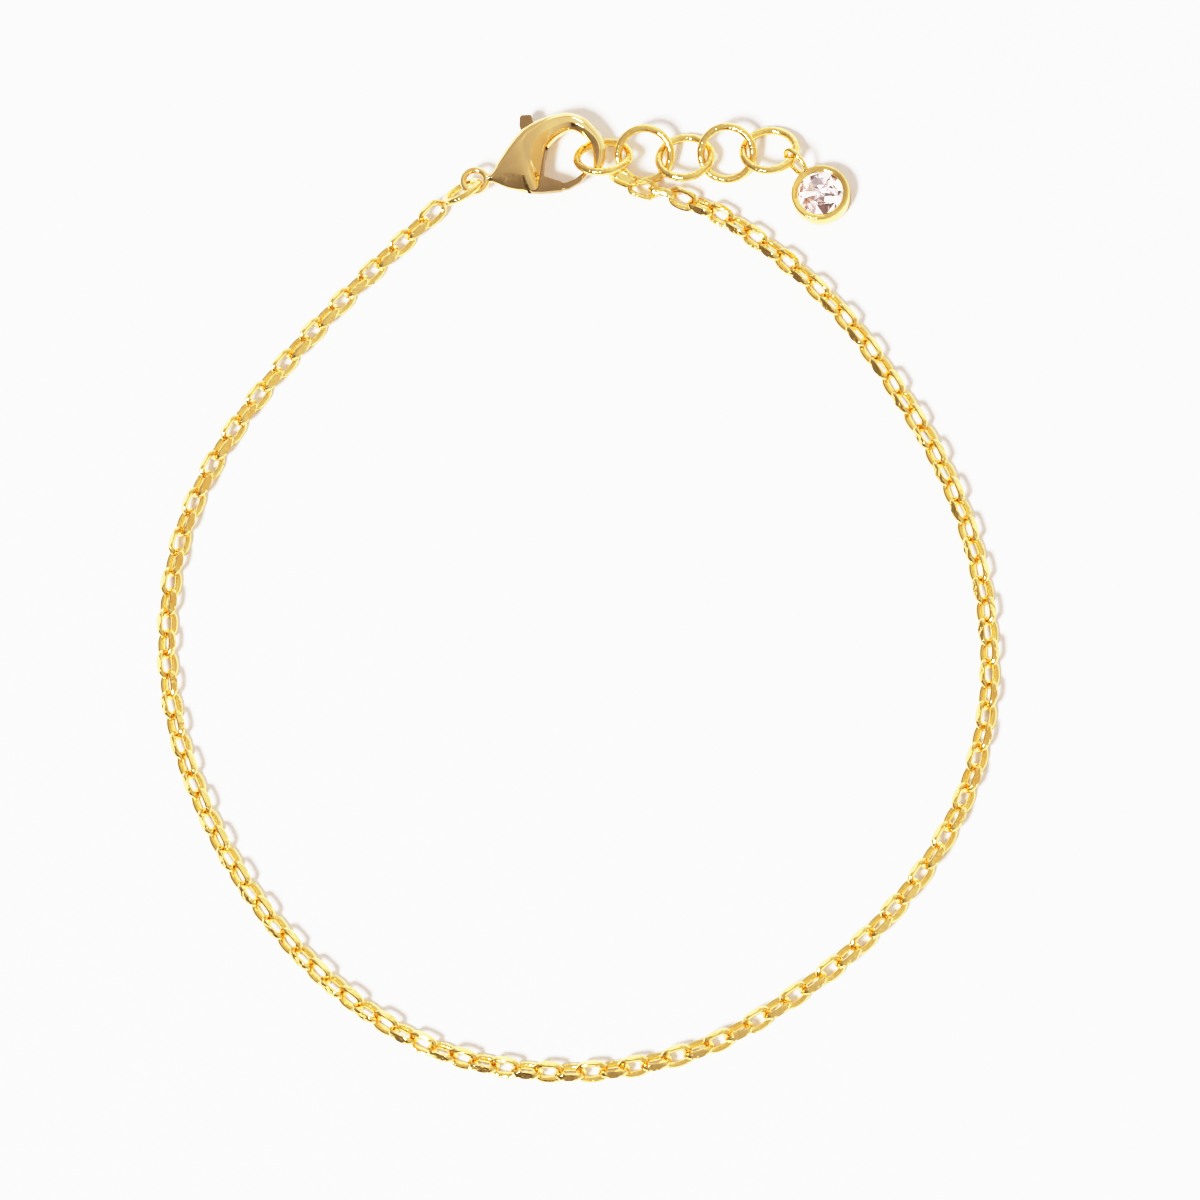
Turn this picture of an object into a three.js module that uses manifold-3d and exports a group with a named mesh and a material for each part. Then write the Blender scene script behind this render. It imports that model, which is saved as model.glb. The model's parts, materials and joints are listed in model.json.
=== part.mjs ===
// Cable chain bracelet, fastened and lying flat: a loop of diamond-cut oval links, a lobster claw clasp,
// an extender of five round rings and a bezel-set stone charm. Millimetres, +Z up, the table is z = 0.
import * as THREE from 'three';
import { mergeVertices } from 'three/addons/utils/BufferGeometryUtils.js';
import Module from 'manifold-3d';

const wasm = await Module();
wasm.setup();

// Chain: ovals of wire, flat on the outer side where the diamond cut took the round off. Neighbours bite
// into each other a little, so each half of the chain is one body, and the halves meet across a small gap
const LINK_WIDTH = 1.46;
const LINK_WIRE = 0.38;
const LINK_SIDES = 10;
const LINK_WIRE_SIDES = 5;
const LINK_SQUARENESS = 2.5;
const LINK_ROLL = 45;
const LINK_BITE = 0.045;
const MEETING_GAP = 0.07;
const RIGHT_LINKS = 59;
const LEFT_LINKS = 59;
const CHAIN_HEIGHT = 0.56;
const ROUTE_DIVISIONS = 3000;
const TANGENT_SHARE = 0.002;

// Extender rings and the clasp's jump ring, all of round wire
const RING_OUTER = 4.34;
const RING_WIRE = 0.58;
const JUMP_OUTER = 3.2;
const JUMP_WIRE = 0.5;
const RING_SIDES = 16;
const RING_WIRE_SIDES = 6;

// Lobster claw: the middle plane's height, the lever's plate, its slot and its pin
const CLASP_HEIGHT = 1.28;
const CLASP_PIVOT = new THREE.Vector3(-4.65, 33.2, CLASP_HEIGHT);
const CLASP_SECTION_SIDES = 10;
const CLASP_FULLNESS = 0.85;
const LEVER_THICKNESS = 0.56;
const LEVER_CLEARANCE = 0.09;
const PIN_RADIUS = 0.35;
const PIN_LENGTH = 1.1;
const PIN_SIDES = 12;
const EYE_RADIUS = 0.88;
const EYE_WIRE = 0.5;
const EYE_CENTRE = { x: -4.26, y: -1.67 };

// Charm: a closed bezel cup, its stone, and the bail loop soldered to its side
const BEZEL_SIDES = 20;
const BEZEL_CENTRE = new THREE.Vector3(15.86, 29.38, 0);
const STONE_SIDES = 12;
const BAIL_SIDES = 12;

// Corners of a mesh nearer than this, in millimetres, are the same corner
const WELD_DISTANCE = 1e-5;

const gold = { color: 0xd9b264, metalness: 1 };
const materials = {
  chain: new THREE.MeshStandardMaterial({ ...gold, roughness: 0.22 }),
  rings: new THREE.MeshStandardMaterial({ ...gold, roughness: 0.16 }),
  clasp: new THREE.MeshStandardMaterial({ ...gold, roughness: 0.14 }),
  stone: new THREE.MeshStandardMaterial({ color: 0xf0ecf4, metalness: 0, roughness: 0.05 }),
};

// A closed mesh becomes a solid
function solidOf(geometry) {
  const bare = geometry.clone();
  bare.deleteAttribute('normal');
  bare.deleteAttribute('uv');
  const merged = mergeVertices(bare, WELD_DISTANCE);
  return new wasm.Manifold(new wasm.Mesh({
    numProp: 3,
    vertProperties: new Float32Array(merged.attributes.position.array),
    triVerts: new Uint32Array(merged.index.array),
  }));
}

function geometryOf(solid) {
  const { vertProperties, triVerts, numProp } = solid.getMesh();
  const position = new Float32Array((vertProperties.length / numProp) * 3);
  for (let i = 0; i < position.length / 3; i += 1) {
    for (let axis = 0; axis < 3; axis += 1) position[3 * i + axis] = vertProperties[numProp * i + axis];
  }
  const geometry = new THREE.BufferGeometry();
  geometry.setAttribute('position', new THREE.BufferAttribute(position, 3));
  geometry.setIndex(new THREE.BufferAttribute(new Uint32Array(triVerts), 1));
  geometry.computeVertexNormals();
  return geometry;
}

function fuse(geometries) {
  return geometries.map(solidOf).reduce((whole, next) => whole.add(next));
}

// A skin over rows of points: each row joins the next, and the first joins the last where closed
function skin(rows, closed) {
  const width = rows[0].length;
  const position = rows.flat().flatMap((p) => [p.x, p.y, p.z]);
  const index = [];
  const spans = closed ? rows.length : rows.length - 1;
  for (let i = 0; i < spans; i += 1) {
    const here = i * width;
    const next = ((i + 1) % rows.length) * width;
    for (let j = 0; j < width; j += 1) {
      const k = (j + 1) % width;
      index.push(here + j, next + k, here + k, here + j, next + j, next + k);
    }
  }
  if (!closed) {
    const last = (rows.length - 1) * width;
    for (let j = 1; j < width - 1; j += 1) {
      index.push(0, j, j + 1);
      index.push(last, last + j + 1, last + j);
    }
  }
  const geometry = new THREE.BufferGeometry();
  geometry.setAttribute('position', new THREE.Float32BufferAttribute(position, 3));
  geometry.setIndex(index);
  return geometry;
}

const signedPower = (value, power) => Math.sign(value) * Math.abs(value) ** power;

// An oval of wire in the XY plane, longer along X, with its flat facet outwards
function ovalWire({ length, width, wire, sides, wireSides, squareness }) {
  const power = 2 / squareness;
  const halfStep = Math.PI / sides;
  const reach = Math.cos(halfStep) ** power;
  const halfLength = (length - wire) / 2 / reach;
  const halfWidth = (width - wire) / 2;
  const corner = (i) => {
    const angle = (2 * i + 1) * halfStep;
    return new THREE.Vector2(
      halfLength * signedPower(Math.cos(angle), power),
      halfWidth * signedPower(Math.sin(angle), power),
    );
  };
  const rows = [];
  for (let i = 0; i < sides; i += 1) {
    const here = corner(i);
    const along = corner(i + 1).sub(corner(i - 1)).normalize();
    const out = new THREE.Vector2(along.y, -along.x);
    const row = [];
    for (let j = 0; j < wireSides; j += 1) {
      const angle = (2 * Math.PI * (j + 0.5)) / wireSides;
      const shift = (wire / 2) * Math.cos(angle);
      row.push(new THREE.Vector3(
        here.x + shift * out.x,
        here.y + shift * out.y,
        (wire / 2) * Math.sin(angle),
      ));
    }
    rows.push(row);
  }
  return skin(rows, true);
}

// The chain's middle line, from the first extender ring round the loop to the jump ring
const routePoints = [
  { x: 1.75, y: 31.0, z: 1.3 },
  { x: 3.2, y: 30.45, z: 0.85 },
  { x: 4.7, y: 30.15, z: 0.72 },
  { x: 6.4, y: 29.4, z: 0.6 },
  { x: 8.8, y: 28.15, z: CHAIN_HEIGHT },
  { x: 13.6, y: 24.3, z: CHAIN_HEIGHT },
  { x: 17.7, y: 19.8, z: CHAIN_HEIGHT },
  { x: 21.1, y: 14.5, z: CHAIN_HEIGHT },
  { x: 24.0, y: 9.05, z: CHAIN_HEIGHT },
  { x: 26.1, y: 3.2, z: CHAIN_HEIGHT },
  { x: 27.1, y: -2.9, z: CHAIN_HEIGHT },
  { x: 26.9, y: -9.2, z: CHAIN_HEIGHT },
  { x: 25.2, y: -15.3, z: CHAIN_HEIGHT },
  { x: 22.1, y: -20.65, z: CHAIN_HEIGHT },
  { x: 18.0, y: -25.25, z: CHAIN_HEIGHT },
  { x: 13.1, y: -29.0, z: CHAIN_HEIGHT },
  { x: 7.65, y: -32.0, z: CHAIN_HEIGHT },
  { x: 1.5, y: -33.5, z: CHAIN_HEIGHT },
  { x: -5.0, y: -33.45, z: CHAIN_HEIGHT },
  { x: -11.3, y: -31.8, z: CHAIN_HEIGHT },
  { x: -17.0, y: -28.35, z: CHAIN_HEIGHT },
  { x: -21.75, y: -23.85, z: CHAIN_HEIGHT },
  { x: -25.55, y: -18.65, z: CHAIN_HEIGHT },
  { x: -28.45, y: -12.9, z: CHAIN_HEIGHT },
  { x: -30.35, y: -6.85, z: CHAIN_HEIGHT },
  { x: -30.9, y: -0.55, z: CHAIN_HEIGHT },
  { x: -30.1, y: 5.65, z: CHAIN_HEIGHT },
  { x: -27.85, y: 11.3, z: CHAIN_HEIGHT },
  { x: -24.6, y: 16.3, z: CHAIN_HEIGHT },
  { x: -20.8, y: 20.85, z: CHAIN_HEIGHT },
  { x: -16.55, y: 25.25, z: CHAIN_HEIGHT },
  { x: -13.25, y: 28.4, z: 0.6 },
  { x: -12.12, y: 29.4, z: 0.78 },
];
const route = new THREE.CatmullRomCurve3(
  routePoints.map((p) => new THREE.Vector3(p.x, p.y, p.z)),
  false,
  'centripetal',
);
route.arcLengthDivisions = ROUTE_DIVISIONS;

// Links stand at 45 degrees to the table, turn about, and the first ones twist upright at the ring
const LINKS = RIGHT_LINKS + LEFT_LINKS;
const END_TWIST = 45;
const END_TWIST_LINKS = 4;
const linkPitch = (route.getLength() + LINK_BITE + MEETING_GAP) / (LINKS - 1);
const linkLength = linkPitch - LINK_BITE + 2 * LINK_WIRE;

const link = ovalWire({
  length: linkLength,
  width: LINK_WIDTH,
  wire: LINK_WIRE,
  sides: LINK_SIDES,
  wireSides: LINK_WIRE_SIDES,
  squareness: LINK_SQUARENESS,
});

// The frame of link k: X along the chain, Z along its hole's axis. The left half is drawn back by the
// bite and the gap, so that it doesn't touch the right half
function linkMatrix(k) {
  const drawnBack = k >= RIGHT_LINKS ? LINK_BITE + MEETING_GAP : 0;
  const distance = k * linkPitch - drawnBack;
  const share = distance / route.getLength();
  const before = route.getPointAt(Math.max(0, share - TANGENT_SHARE));
  const after = route.getPointAt(Math.min(1, share + TANGENT_SHARE));
  const along = after.clone().sub(before).normalize();
  const side = along.clone().cross(new THREE.Vector3(0, 0, 1)).normalize();
  const up = side.clone().cross(along);
  const twist = -END_TWIST * Math.max(0, 1 - k / END_TWIST_LINKS);
  const roll = THREE.MathUtils.degToRad((k % 2 ? LINK_ROLL : -LINK_ROLL) + twist);
  const normal = up.multiplyScalar(Math.cos(roll)).addScaledVector(side, Math.sin(roll));
  const across = normal.clone().cross(along);
  return new THREE.Matrix4().makeBasis(along, across, normal)
    .setPosition(route.getPointAt(share));
}

function chainPart(name, first, count) {
  const links = [];
  for (let k = first; k < first + count; k += 1) links.push(link.clone().applyMatrix4(linkMatrix(k)));
  const mesh = new THREE.Mesh(geometryOf(fuse(links)), materials.chain);
  mesh.name = name;
  return mesh;
}

// Round rings: centre in millimetres, then roll, pitch and heading in degrees
function roundRing(name, outer, wire, place) {
  const geometry = new THREE.TorusGeometry((outer - wire) / 2, wire / 2, RING_WIRE_SIDES, RING_SIDES);
  const mesh = new THREE.Mesh(geometry, materials.rings);
  mesh.name = name;
  mesh.position.set(place.x, place.y, place.z);
  mesh.rotation.set(
    THREE.MathUtils.degToRad(place.roll),
    THREE.MathUtils.degToRad(place.pitch),
    THREE.MathUtils.degToRad(place.heading),
    'ZYX',
  );
  return mesh;
}

const extenderRings = [
  { x: 0.35, y: 32.81, z: 1.42, heading: 0, pitch: 1.3, roll: -35 },
  { x: 3.27, y: 33.0, z: 0.99, heading: 5.5, pitch: 0.4, roll: 21.5 },
  { x: 6.18, y: 32.62, z: 0.97, heading: -3.5, pitch: -0.9, roll: -20.5 },
  { x: 9.2, y: 32.8, z: 0.98, heading: 0, pitch: -0.7, roll: 21 },
  { x: 12.24, y: 32.84, z: 0.97, heading: -5, pitch: -0.2, roll: -21 },
];
const jumpRing = { x: -9.87, y: 30.74, z: 1.32, heading: 32.5, pitch: 1.7, roll: -52.6 };

// Claw sections from the tail round to the tip: outer and inner edge from the pivot, half thickness
const clawSections = [
  { xOut: -3.45, yOut: -1.4, xIn: -3.42, yIn: -1.78, half: 0.22 },
  { xOut: -3.1, yOut: -1.25, xIn: -3.0, yIn: -1.85, half: 0.34 },
  { xOut: -2.57, yOut: -0.31, xIn: -1.98, yIn: -2.33, half: 0.8 },
  { xOut: -1.92, yOut: 0.73, xIn: -0.75, yIn: -2.7, half: 1.02 },
  { xOut: -1.34, yOut: 1.47, xIn: 0.27, yIn: -2.83, half: 1.1 },
  { xOut: -0.76, yOut: 2.05, xIn: 0.48, yIn: -1.85, half: 1.1 },
  { xOut: -0.04, yOut: 2.47, xIn: 0.66, yIn: -0.71, half: 1.05 },
  { xOut: 0.9, yOut: 2.84, xIn: 0.91, yIn: 0.43, half: 0.95 },
  { xOut: 1.77, yOut: 3.06, xIn: 1.63, yIn: 1.31, half: 0.8 },
  { xOut: 2.57, yOut: 3.1, xIn: 2.57, yIn: 1.79, half: 0.64 },
  { xOut: 3.51, yOut: 2.74, xIn: 3.22, yIn: 1.6, half: 0.53 },
  { xOut: 4.31, yOut: 2.0, xIn: 3.66, yIn: 1.2, half: 0.47 },
  { xOut: 4.98, yOut: 0.97, xIn: 4.14, yIn: 0.56, half: 0.45 },
  { xOut: 5.2, yOut: 0.04, xIn: 4.28, yIn: -0.06, half: 0.44 },
  { xOut: 5.08, yOut: -0.79, xIn: 4.28, yIn: -0.67, half: 0.42 },
  { xOut: 4.83, yOut: -1.25, xIn: 4.28, yIn: -1.02, half: 0.36 },
  { xOut: 4.58, yOut: -1.42, xIn: 4.34, yIn: -1.24, half: 0.2 },
];

function clawSection({ xOut, yOut, xIn, yIn, half }) {
  const row = [];
  for (let i = 0; i < CLASP_SECTION_SIDES; i += 1) {
    const angle = (2 * Math.PI * i) / CLASP_SECTION_SIDES;
    const across = signedPower(Math.cos(angle), CLASP_FULLNESS) / 2;
    row.push(new THREE.Vector3(
      (xOut + xIn) / 2 + across * (xOut - xIn),
      (yOut + yIn) / 2 + across * (yOut - yIn),
      -half * signedPower(Math.sin(angle), CLASP_FULLNESS),
    ));
  }
  return row;
}

// A plate of the given outline, centred on the middle plane
function plate(outline, thickness) {
  const shape = new THREE.Shape(outline.map(([x, y]) => new THREE.Vector2(x, y)));
  const geometry = new THREE.ExtrudeGeometry(shape, { depth: thickness, bevelEnabled: false });
  return geometry.translate(0, 0, -thickness / 2);
}

// Room for the lever between the claw's cheeks, open at the thumb side and at the gate side.
// Both outlines are corners (x, y) from the pivot
const slotOutline = [
  [-0.42, -3.3], [-0.46, -2.4], [-0.84, -0.8], [-0.9, 0.1], [-1.02, 0.62], [-1.72, 1.35],
  [-2.75, 2.3], [0.3, 3.6], [0.22, 1.9], [0.68, 0.82], [1.4, 0.4], [1.4, -3.3],
];
// The lever: thumb tab at the top, hub round the pin, gate plate, and the finger that closes the hook
const leverOutline = [
  [-0.9, 3.0], [-0.93, 1.85], [-0.66, 0.6], [-0.72, 0.0], [-0.64, -0.8], [-0.26, -2.3], [0.1, -2.72],
  [0.6, -2.86], [2.0, -2.8], [2.5, -2.68], [3.3, -2.25], [3.75, -1.75], [3.93, -1.32], [3.98, -1.12],
  [3.84, -1.1], [3.55, -1.5], [3.0, -1.95], [2.3, -2.2], [2.0, -2.14], [0.5, -1.56], [0.6, -0.5],
  [0.68, 0.1], [0.5, 0.7], [0.04, 1.95], [-0.18, 3.04], [-0.3, 3.12], [-0.8, 3.12],
];

function pin(radius, length) {
  return new THREE.CylinderGeometry(radius, radius, length, PIN_SIDES).rotateX(Math.PI / 2);
}

function claspBody() {
  const claw = solidOf(skin(clawSections.map(clawSection), false));
  const eye = new THREE.TorusGeometry(EYE_RADIUS, EYE_WIRE / 2, RING_WIRE_SIDES, RING_SIDES)
    .translate(EYE_CENTRE.x, EYE_CENTRE.y, 0);
  const slot = plate(slotOutline, LEVER_THICKNESS + 2 * LEVER_CLEARANCE);
  const solid = claw.subtract(solidOf(slot)).add(solidOf(pin(PIN_RADIUS, PIN_LENGTH))).add(solidOf(eye));
  const mesh = new THREE.Mesh(geometryOf(solid), materials.clasp);
  mesh.name = 'clasp_body';
  return mesh;
}

function claspLever() {
  const bore = solidOf(pin(PIN_RADIUS + LEVER_CLEARANCE, 2 * LEVER_THICKNESS));
  const solid = solidOf(plate(leverOutline, LEVER_THICKNESS)).subtract(bore);
  const mesh = new THREE.Mesh(geometryOf(solid), materials.clasp);
  mesh.name = 'clasp_lever';
  return mesh;
}

// Bezel cup, drawn as radius and height: closed back, wall, rim leaning over the stone's girdle
const cupProfile = [
  [0, 0], [1.98, 0], [2.1, 0.12], [2.1, 1.0], [2.02, 1.18], [1.88, 1.26], [1.72, 1.24], [1.66, 1.12],
  [1.84, 0.94], [1.84, 0.76], [1.45, 0.36], [0, 0.36],
];
// Stone, drawn the same way: culet, girdle, crown and table
const stoneProfile = [[0, 0.46], [0.3, 0.46], [1.76, 0.82], [1.76, 0.9], [1.05, 1.32], [0, 1.32]];

function lathe(profile, sides) {
  const points = profile.map(([radius, height]) => new THREE.Vector2(radius, height));
  return new THREE.LatheGeometry(points, sides).rotateX(Math.PI / 2);
}

// The bail is an upright oval from the cup's wall to inside the last ring
const bailPlace = { x: 14.13, y: 31.8, z: 1.15, heading: -52, roll: -33, pitch: 10.5 };
const bailShape = {
  length: 2.37,
  width: 1.53,
  wire: 0.36,
  sides: BAIL_SIDES,
  wireSides: LINK_WIRE_SIDES,
  squareness: 2.2,
};

function charmSetting() {
  const bail = ovalWire(bailShape);
  const turn = new THREE.Euler(
    THREE.MathUtils.degToRad(90 + bailPlace.roll),
    THREE.MathUtils.degToRad(bailPlace.pitch),
    THREE.MathUtils.degToRad(bailPlace.heading),
    'ZYX',
  );
  bail.applyMatrix4(new THREE.Matrix4().makeRotationFromEuler(turn));
  bail.translate(bailPlace.x, bailPlace.y, bailPlace.z);
  const cup = lathe(cupProfile, BEZEL_SIDES).translate(BEZEL_CENTRE.x, BEZEL_CENTRE.y, BEZEL_CENTRE.z);
  const mesh = new THREE.Mesh(geometryOf(fuse([cup, bail])), materials.rings);
  mesh.name = 'charm_setting';
  return mesh;
}

function charmStone() {
  const mesh = new THREE.Mesh(lathe(stoneProfile, STONE_SIDES), materials.stone);
  mesh.name = 'charm_stone';
  mesh.position.copy(BEZEL_CENTRE);
  return mesh;
}

const bracelet = new THREE.Group();
bracelet.add(chainPart('chain_right', 0, RIGHT_LINKS));
bracelet.add(chainPart('chain_left', RIGHT_LINKS, LEFT_LINKS));

const clasp = new THREE.Group();
clasp.position.copy(CLASP_PIVOT);
clasp.add(claspBody(), claspLever());
bracelet.add(clasp);

bracelet.add(roundRing('clasp_jump_ring', JUMP_OUTER, JUMP_WIRE, jumpRing));
extenderRings.forEach((place, i) => {
  bracelet.add(roundRing(`extender_ring_${i + 1}`, RING_OUTER, RING_WIRE, place));
});
bracelet.add(charmSetting(), charmStone());

// The origin is the middle of the bracelet's box, on the table
const box = new THREE.Box3().setFromObject(bracelet, true);
const middle = box.getCenter(new THREE.Vector3());
bracelet.position.set(-middle.x, -middle.y, -box.min.z);

export default bracelet;
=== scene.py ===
"""Gold plated cable chain bracelet with a lobster claw clasp, ring extender and bezel-set stone charm.

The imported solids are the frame. Each one is dressed with a fine mesh of the same form, in metres.
"""
import json
import math
import random

import bmesh
import bpy
import numpy as np
from mathutils import Matrix, Vector


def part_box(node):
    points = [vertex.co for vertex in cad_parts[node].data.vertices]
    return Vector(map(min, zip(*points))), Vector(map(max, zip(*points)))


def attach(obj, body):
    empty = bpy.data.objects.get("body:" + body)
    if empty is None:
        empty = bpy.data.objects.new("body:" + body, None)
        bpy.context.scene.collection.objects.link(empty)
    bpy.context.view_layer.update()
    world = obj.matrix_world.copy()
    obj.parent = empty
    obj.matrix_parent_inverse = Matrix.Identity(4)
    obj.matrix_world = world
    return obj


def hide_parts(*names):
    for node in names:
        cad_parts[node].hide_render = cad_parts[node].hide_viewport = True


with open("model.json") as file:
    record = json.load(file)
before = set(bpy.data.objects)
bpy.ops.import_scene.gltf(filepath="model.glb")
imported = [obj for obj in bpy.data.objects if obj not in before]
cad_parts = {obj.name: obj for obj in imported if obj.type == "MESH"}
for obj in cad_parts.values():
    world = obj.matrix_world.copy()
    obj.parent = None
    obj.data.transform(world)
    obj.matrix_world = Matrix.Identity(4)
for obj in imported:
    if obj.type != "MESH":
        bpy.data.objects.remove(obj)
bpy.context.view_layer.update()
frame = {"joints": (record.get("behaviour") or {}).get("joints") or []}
MM = 0.001
RANDOM_SEED = 11
random.seed(RANDOM_SEED)

# The layout that the solids were drawn in, in millimetres, and its shift to the frame's origin:
# the lever's hinge is known in both
CLASP_PIVOT = Vector((-4.65, 33.2, 1.28))
PIVOT = Vector(frame["joints"][0]["pos_m"])
SHIFT = PIVOT - CLASP_PIVOT * MM

# Edges between faces that meet at more than these angles, in degrees, are shown sharp
SHARP_LINK = 24.0
SHARP_RING = 60.0
SHARP_CLAW = 22.0
SHARP_PIN = 40.0
SHARP_PLATE = 28.0
SHARP_FINGER = 50.0
SHARP_CUP = 40.0


def place(x, y, z):
    """A point of the layout, given in millimetres, as a point of the frame in metres."""
    return Vector((x, y, z)) * MM + SHIFT


def add_to_scene(name, data):
    """An object made of the mesh, lamp or camera, put into the scene."""
    piece = bpy.data.objects.new(name, data)
    bpy.context.scene.collection.objects.link(piece)
    return piece


def object_of(name, shape):
    """The working mesh as an object of the scene; the working mesh is used up."""
    mesh = bpy.data.meshes.new(name)
    shape.to_mesh(mesh)
    shape.free()
    return add_to_scene(name, mesh)


def shade(piece, sharp_degrees):
    """Smooth shading, but for the edges where two faces meet at more than the angle."""
    shape = bmesh.new()
    shape.from_mesh(piece.data)
    limit = math.radians(sharp_degrees)
    for face in shape.faces:
        face.smooth = True
    for edge in shape.edges:
        edge.smooth = len(edge.link_faces) != 2 or edge.calc_face_angle() < limit
    shape.to_mesh(piece.data)
    shape.free()


def mesh_object(name, vertices, faces, sharp_degrees):
    """An object of the vertices and faces, its faces turned outwards and shaded smooth."""
    mesh = bpy.data.meshes.new(name)
    mesh.from_pydata([tuple(vertex) for vertex in vertices], [], faces)
    shape = bmesh.new()
    shape.from_mesh(mesh)
    bmesh.ops.recalc_face_normals(shape, faces=shape.faces)
    piece = object_of(name, shape)
    shade(piece, sharp_degrees)
    return piece


def skin_faces(rows, width, closed, start=0):
    """Quads between neighbouring rows of points, with both ends capped where the rows are open."""
    faces = []
    for i in range(rows if closed else rows - 1):
        here = start + i * width
        there = start + ((i + 1) % rows) * width
        for j in range(width):
            k = (j + 1) % width
            faces.append((here + j, here + k, there + k, there + j))
    if not closed:
        last = start + (rows - 1) * width
        faces.append(tuple(start + j for j in range(width)))
        faces.append(tuple(last + j for j in reversed(range(width))))
    return faces


def signed_power(value, power):
    """The power of the value's size, with the value's sign."""
    return math.copysign(abs(value) ** power, value)


def oval_point(half_length, half_width, squareness, angle):
    """A point of a squared oval in its plane, and the unit vector outwards from it."""
    power = 2 / squareness
    x = half_length * signed_power(math.cos(angle), power)
    y = half_width * signed_power(math.sin(angle), power)
    dx = -half_length * power * abs(math.cos(angle)) ** (power - 1) * math.sin(angle)
    dy = half_width * power * abs(math.sin(angle)) ** (power - 1) * math.cos(angle)
    norm = math.hypot(dx, dy)
    return x, y, dy / norm, -dx / norm


# Materials: a few helpers, then polished gold plate with fine wear

def new_material(name):
    """A node material, its tree and its shader."""
    material = bpy.data.materials.new(name)
    material.use_nodes = True
    return material, material.node_tree, material.node_tree.nodes["Principled BSDF"]


def set_inputs(node, values):
    """Sets the node's own sockets to the values, by the sockets' names."""
    for socket, value in values.items():
        node.inputs[socket].default_value = value


def add_node(tree, kind, values=None):
    """A new node of the kind, with the values, if any, on its sockets."""
    node = tree.nodes.new(kind)
    set_inputs(node, values or {})
    return node


def add_ramp(tree, stops):
    """A colour ramp through the stops, each with the place that it is at and its colour."""
    ramp = tree.nodes.new("ShaderNodeValToRGB")
    elements = ramp.color_ramp.elements
    while len(elements) < len(stops):
        elements.new(0.5)
    for element, stop in zip(elements, stops):
        element.position = stop["at"]
        element.color = (*stop["colour"], 1.0)
    return ramp


def link_nodes(tree, start, out_name, end, in_name):
    """Joins one node's output to another's input, by their names."""
    tree.links.new(start.outputs[out_name], end.inputs[in_name])


# Scratches are this many times as fine as the patches of wear, and add up to this to the roughness
SCRATCH_FINENESS = 9.0
SCRATCH_DULLING = 0.1


def gold_material(name, colour, deep_colour, roughness, wear_scale, grain_scale, grain_depth):
    """Polished gold plate: patches of slightly deeper colour, hair scratches and a fine ripple."""
    material, tree, shader = new_material(name)
    set_inputs(shader, {"Metallic": 1.0})
    coords = add_node(tree, "ShaderNodeTexCoord")

    patches = add_node(tree, "ShaderNodeTexNoise", {"Scale": wear_scale, "Detail": 4.0})
    tint = add_ramp(tree, [{"at": 0.35, "colour": deep_colour}, {"at": 0.62, "colour": colour}])
    link_nodes(tree, coords, "Object", patches, "Vector")
    link_nodes(tree, patches, "Fac", tint, "Fac")
    link_nodes(tree, tint, "Color", shader, "Base Color")

    scratches = add_node(tree, "ShaderNodeTexNoise", {
        "Scale": SCRATCH_FINENESS * wear_scale, "Detail": 6.0, "Roughness": 0.65})
    polish = add_node(tree, "ShaderNodeMapRange", {
        "From Min": 0.3, "From Max": 0.75, "To Min": roughness, "To Max": roughness + SCRATCH_DULLING})
    link_nodes(tree, coords, "Object", scratches, "Vector")
    link_nodes(tree, scratches, "Fac", polish, "Value")
    link_nodes(tree, polish, "Result", shader, "Roughness")

    grain = add_node(tree, "ShaderNodeTexNoise", {"Scale": grain_scale, "Detail": 1.0})
    ripple = add_node(tree, "ShaderNodeBump", {"Distance": grain_depth * MM})
    link_nodes(tree, coords, "Object", grain, "Vector")
    link_nodes(tree, grain, "Fac", ripple, "Height")
    link_nodes(tree, ripple, "Normal", shader, "Normal")
    return material


PLATE = (1.0, 0.70, 0.22)
PLATE_DEEP = (0.97, 0.64, 0.18)
CHAIN_GOLD = gold_material("gold_chain", PLATE, PLATE_DEEP, roughness=0.08,
                           wear_scale=900.0, grain_scale=3000.0, grain_depth=0.04)
WIRE_GOLD = gold_material("gold_wire", PLATE, PLATE_DEEP, roughness=0.06,
                          wear_scale=900.0, grain_scale=3000.0, grain_depth=0.055)
BEZEL_GOLD = gold_material("gold_bezel", PLATE, PLATE_DEEP, roughness=0.06,
                           wear_scale=700.0, grain_scale=1800.0, grain_depth=0.03)
CLASP_GOLD = gold_material("gold_clasp", (0.98, 0.70, 0.28), (0.95, 0.65, 0.24), roughness=0.05,
                           wear_scale=500.0, grain_scale=2500.0, grain_depth=0.008)
# The lever and its finger are gold plate like the claw, with their colour painted much darker as
# painted shade
SHADED_LEVER_GOLD = gold_material("gold_lever_painted_shade", (0.50, 0.32, 0.135), (0.40, 0.25, 0.10), roughness=0.14,
                           wear_scale=500.0, grain_scale=2500.0, grain_depth=0.01)


def finish_piece(piece, material, node, body="bracelet"):
    """Gives the piece its material, hides the solid of the node that it stands for, and puts it on its
    body.
    """
    piece.data.materials.append(material)
    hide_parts(node)
    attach(piece, body)


# Chain: the same middle line and link frames as the solids, with a true diamond-cut section.
# Lengths are in millimetres and angles in degrees

LINK_WIDTH = 1.46
LINK_WIRE = 0.38
LINK_SQUARENESS = 2.5
LINK_ROLL = 45.0
LINK_JITTER = 3.5
LINK_BITE = 0.045
MEETING_GAP = 0.07
RIGHT_LINKS = 59
LEFT_LINKS = 59
LINKS = RIGHT_LINKS + LEFT_LINKS
CHAIN_HEIGHT = 0.56

# The extender twists the chain's first links, each less than the one before, and its last ones are held
END_TWIST = 45.0
END_TWIST_LINKS = 4
HELD_LAST_LINKS = 2

# The cut planes this much off the long sides, which are swollen wider and higher to start with
CUT_DEPTH = 0.15
SIDE_SWELL = 0.12
SIDE_RISE = 0.1
LINK_STEPS = 40
LINK_SECTION_STEPS = 14

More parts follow.
